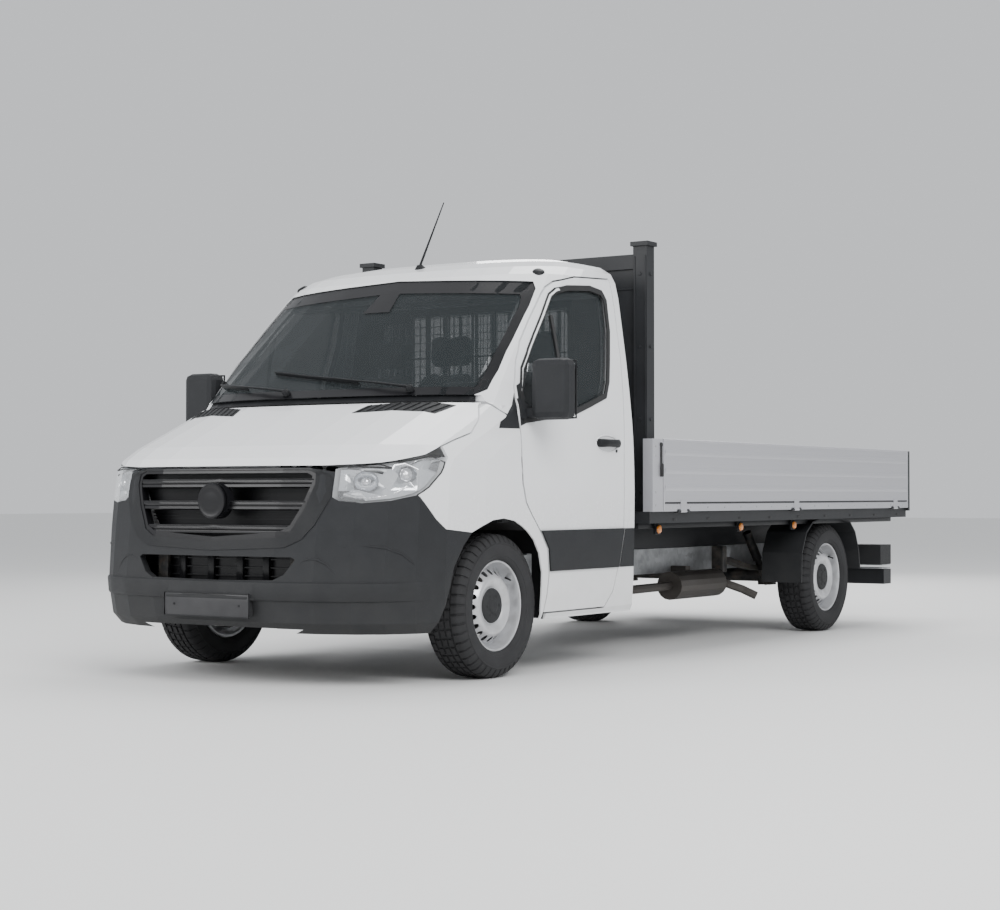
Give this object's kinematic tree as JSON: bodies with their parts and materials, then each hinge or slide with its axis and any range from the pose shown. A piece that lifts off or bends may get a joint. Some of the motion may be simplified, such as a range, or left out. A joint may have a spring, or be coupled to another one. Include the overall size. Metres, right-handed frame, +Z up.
{
  "type": "flatbed truck",
  "caption": "Light flatbed truck: single cab over a ladder frame, dropside platform with headboard, opening doors, bonnet and boards, steering and rolling wheels.",
  "frame": {"origin": "on the ground under the middle of the truck's length and width", "axes": "+X to the truck's left side, -Y to its front, +Z up"},
  "size_m": [2.47, 6.148, 2.5006],
  "materials": {
    "paint": "gloss",
    "plastic": "grained",
    "glass": "clear tinted",
    "aluminium": "anodised satin",
    "dark_steel": "satin",
    "galvanised": "dull",
    "rubber": "matte",
    "silver": "satin",
    "fabric": "woven",
    "lamp": "clear",
    "lamp_red": "gloss",
    "floor_board": "film-faced, satin"
  },
  "bodies": {
    "truck": {"cab_shell": "paint", "fender_left": "paint", "fender_right": "paint", "front_bumper": "plastic", "grille": "plastic", "scuttle_panel": "plastic", "windscreen": "glass", "rear_window": "glass", "partition_guard": "dark_steel", "aerial": "plastic", "dashboard": "plastic", "steering_wheel": "plastic", "driver_seat": "fabric", "passenger_seat": "fabric", "headlamp_left": "lamp", "headlamp_right": "lamp", "engine_block": "dark_steel", "radiator": "dark_steel", "front_subframe": "dark_steel", "chassis_frame": "galvanised", "rear_axle": "dark_steel", "exhaust": "galvanised", "fuel_tank": "plastic", "mudguard_left": "plastic", "mudguard_right": "plastic", "tail_lamp_left": "lamp_red", "tail_lamp_right": "lamp_red", "underrun_bar": "dark_steel", "deck": "dark_steel", "load_floor": "floor_board", "headboard": "dark_steel", "corner_post_left": "aluminium", "corner_post_right": "aluminium"},
    "bonnet": {"bonnet": "paint"},
    "door_left": {"door_left": "paint", "door_glass_left": "glass", "door_cladding_left": "plastic", "mirror_left": "plastic"},
    "door_right": {"door_right": "paint", "door_glass_right": "glass", "door_cladding_right": "plastic", "mirror_right": "plastic"},
    "knuckle_left": {"knuckle_left": "dark_steel"},
    "knuckle_right": {"knuckle_right": "dark_steel"},
    "front_wheel_left": {"front_rim_left": "silver", "front_tyre_left": "rubber"},
    "front_wheel_right": {"front_rim_right": "silver", "front_tyre_right": "rubber"},
    "rear_wheel_left": {"rear_rim_left": "silver", "rear_tyre_left": "rubber"},
    "rear_wheel_right": {"rear_rim_right": "silver", "rear_tyre_right": "rubber"},
    "side_board_left": {"side_board_left": "aluminium"},
    "side_board_right": {"side_board_right": "aluminium"},
    "tailboard": {"tailboard": "aluminium"}
  },
  "joints": [
    {"name": "steer_left", "type": "hinge", "parent": "truck", "child": "knuckle_left", "pos_m": [0.76, -2.0535, 0.35], "axis": [0, 0, 1], "range_deg": [-35, 35]},
    {"name": "steer_right", "type": "hinge", "parent": "truck", "child": "knuckle_right", "pos_m": [-0.76, -2.0535, 0.35], "axis": [0, 0, 1], "range_deg": [-35, 35]},
    {"name": "front_wheel_left_spin", "type": "hinge", "parent": "knuckle_left", "child": "front_wheel_left", "pos_m": [0.856, -2.0535, 0.35], "axis": [1, 0, 0], "continuous": true},
    {"name": "front_wheel_right_spin", "type": "hinge", "parent": "knuckle_right", "child": "front_wheel_right", "pos_m": [-0.856, -2.0535, 0.35], "axis": [1, 0, 0], "continuous": true},
    {"name": "rear_wheel_left_spin", "type": "hinge", "parent": "truck", "child": "rear_wheel_left", "pos_m": [0.856, 1.8705, 0.35], "axis": [1, 0, 0], "continuous": true},
    {"name": "rear_wheel_right_spin", "type": "hinge", "parent": "truck", "child": "rear_wheel_right", "pos_m": [-0.856, 1.8705, 0.35], "axis": [1, 0, 0], "continuous": true},
    {"name": "door_left_open", "type": "hinge", "parent": "truck", "child": "door_left", "pos_m": [1.0045, -1.9035, 1], "axis": [0, 0, -1], "range_deg": [0, 68]},
    {"name": "door_right_open", "type": "hinge", "parent": "truck", "child": "door_right", "pos_m": [-1.0045, -1.9035, 1], "axis": [0, 0, 1], "range_deg": [0, 68]},
    {"name": "bonnet_open", "type": "hinge", "parent": "truck", "child": "bonnet", "pos_m": [0, -2.0895, 1.33], "axis": [-1, 0, 0], "range_deg": [0, 52]},
    {"name": "side_board_left_fold", "type": "hinge", "parent": "truck", "child": "side_board_left", "pos_m": [1.0595, -0.5655, 0.795], "axis": [0, 1, 0], "range_deg": [0, 180]},
    {"name": "side_board_right_fold", "type": "hinge", "parent": "truck", "child": "side_board_right", "pos_m": [-1.0595, -0.5655, 0.795], "axis": [0, -1, 0], "range_deg": [0, 180]},
    {"name": "tailboard_fold", "type": "hinge", "parent": "truck", "child": "tailboard", "pos_m": [0, 3.067, 0.795], "axis": [-1, 0, 0], "range_deg": [0, 180]}
  ],
  "couplings": [
    {"joint": "steer_right", "follows": "steer_left", "ratio": 1}
  ]
}
